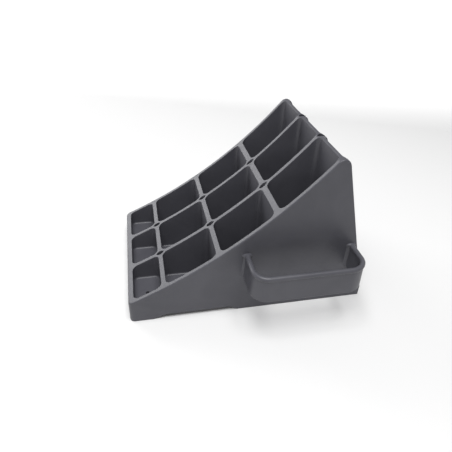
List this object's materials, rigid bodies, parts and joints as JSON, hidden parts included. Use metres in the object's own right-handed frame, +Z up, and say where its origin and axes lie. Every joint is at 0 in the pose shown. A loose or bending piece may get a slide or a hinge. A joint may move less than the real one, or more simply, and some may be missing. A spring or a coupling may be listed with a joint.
{
  "type": "wheel chock",
  "caption": "Moulded wedge wheel chock with a curved open-celled tyre face, ribbed back, shallow feet and a side carrying handle.",
  "frame": {"origin": "on the ground under the middle of the whole chock's bounding box, handle included", "axes": "+X from the toe to the heel, +Y away from the handle, +Z up; the wedge's middle plane is at y = +16 mm"},
  "size_m": [0.2, 0.1654, 0.135],
  "materials": {
    "moulding": "satin charcoal injection-moulded polypropylene, slightly glossier inside the cells"
  },
  "bodies": {
    "root": {"cell_floor": "moulding", "cross_rib_1_handle_side": "moulding", "cross_rib_1_middle": "moulding", "cross_rib_1_plain_side": "moulding", "cross_rib_2_handle_side": "moulding", "cross_rib_2_middle": "moulding", "cross_rib_2_plain_side": "moulding", "cross_rib_3_handle_side": "moulding", "cross_rib_3_middle": "moulding", "cross_rib_3_plain_side": "moulding", "crossing_post_1_handle_side": "moulding", "crossing_post_1_plain_side": "moulding", "crossing_post_2_handle_side": "moulding", "crossing_post_2_plain_side": "moulding", "crossing_post_3_handle_side": "moulding", "crossing_post_3_plain_side": "moulding", "front_foot": "moulding", "front_wall": "moulding", "handle_front_arm": "moulding", "handle_grip": "moulding", "handle_rear_arm": "moulding", "heel_foot": "moulding", "long_rib_1_handle_side": "moulding", "long_rib_1_plain_side": "moulding", "long_rib_2_handle_side": "moulding", "long_rib_2_plain_side": "moulding", "long_rib_3_handle_side": "moulding", "long_rib_3_plain_side": "moulding", "long_rib_4_handle_side": "moulding", "long_rib_4_plain_side": "moulding", "middle_foot": "moulding", "rear_buttress_handle_side": "moulding", "rear_buttress_plain_side": "moulding", "rear_wall": "moulding", "side_wall_handle_side": "moulding", "side_wall_plain_side": "moulding", "skid_handle_side": "moulding", "skid_plain_side": "moulding"}
  },
  "joints": []
}
